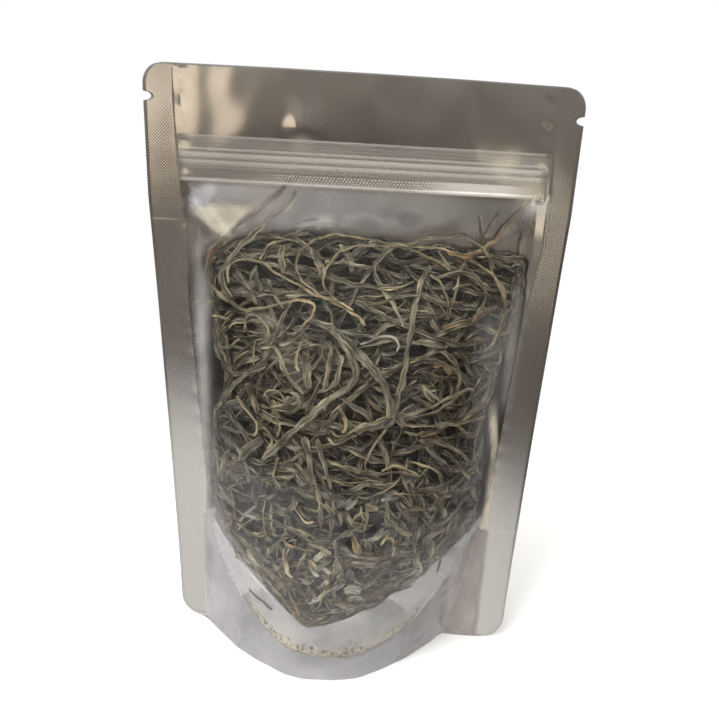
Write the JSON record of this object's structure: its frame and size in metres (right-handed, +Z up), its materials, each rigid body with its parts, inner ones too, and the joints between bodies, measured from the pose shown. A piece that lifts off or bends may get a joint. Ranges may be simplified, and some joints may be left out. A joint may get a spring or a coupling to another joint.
{
  "type": "stand-up pouch of dried kelp strips",
  "caption": "Stand-up zip pouch with a clear front and foil back, filled with dried kelp strips.",
  "frame": {"origin": "on the surface the pouch stands on, under the middle of its base", "axes": "+X to the right of the clear front, +Y to the back, +Z up to the header"},
  "size_m": [0.14, 0.0598, 0.205],
  "materials": {
    "film": "satin",
    "zip_plastic": "gloss",
    "dried_kelp": "matte"
  },
  "bodies": {
    "root": {"pouch": "film", "zip": "zip_plastic", "kelp": "dried_kelp"}
  },
  "joints": []
}
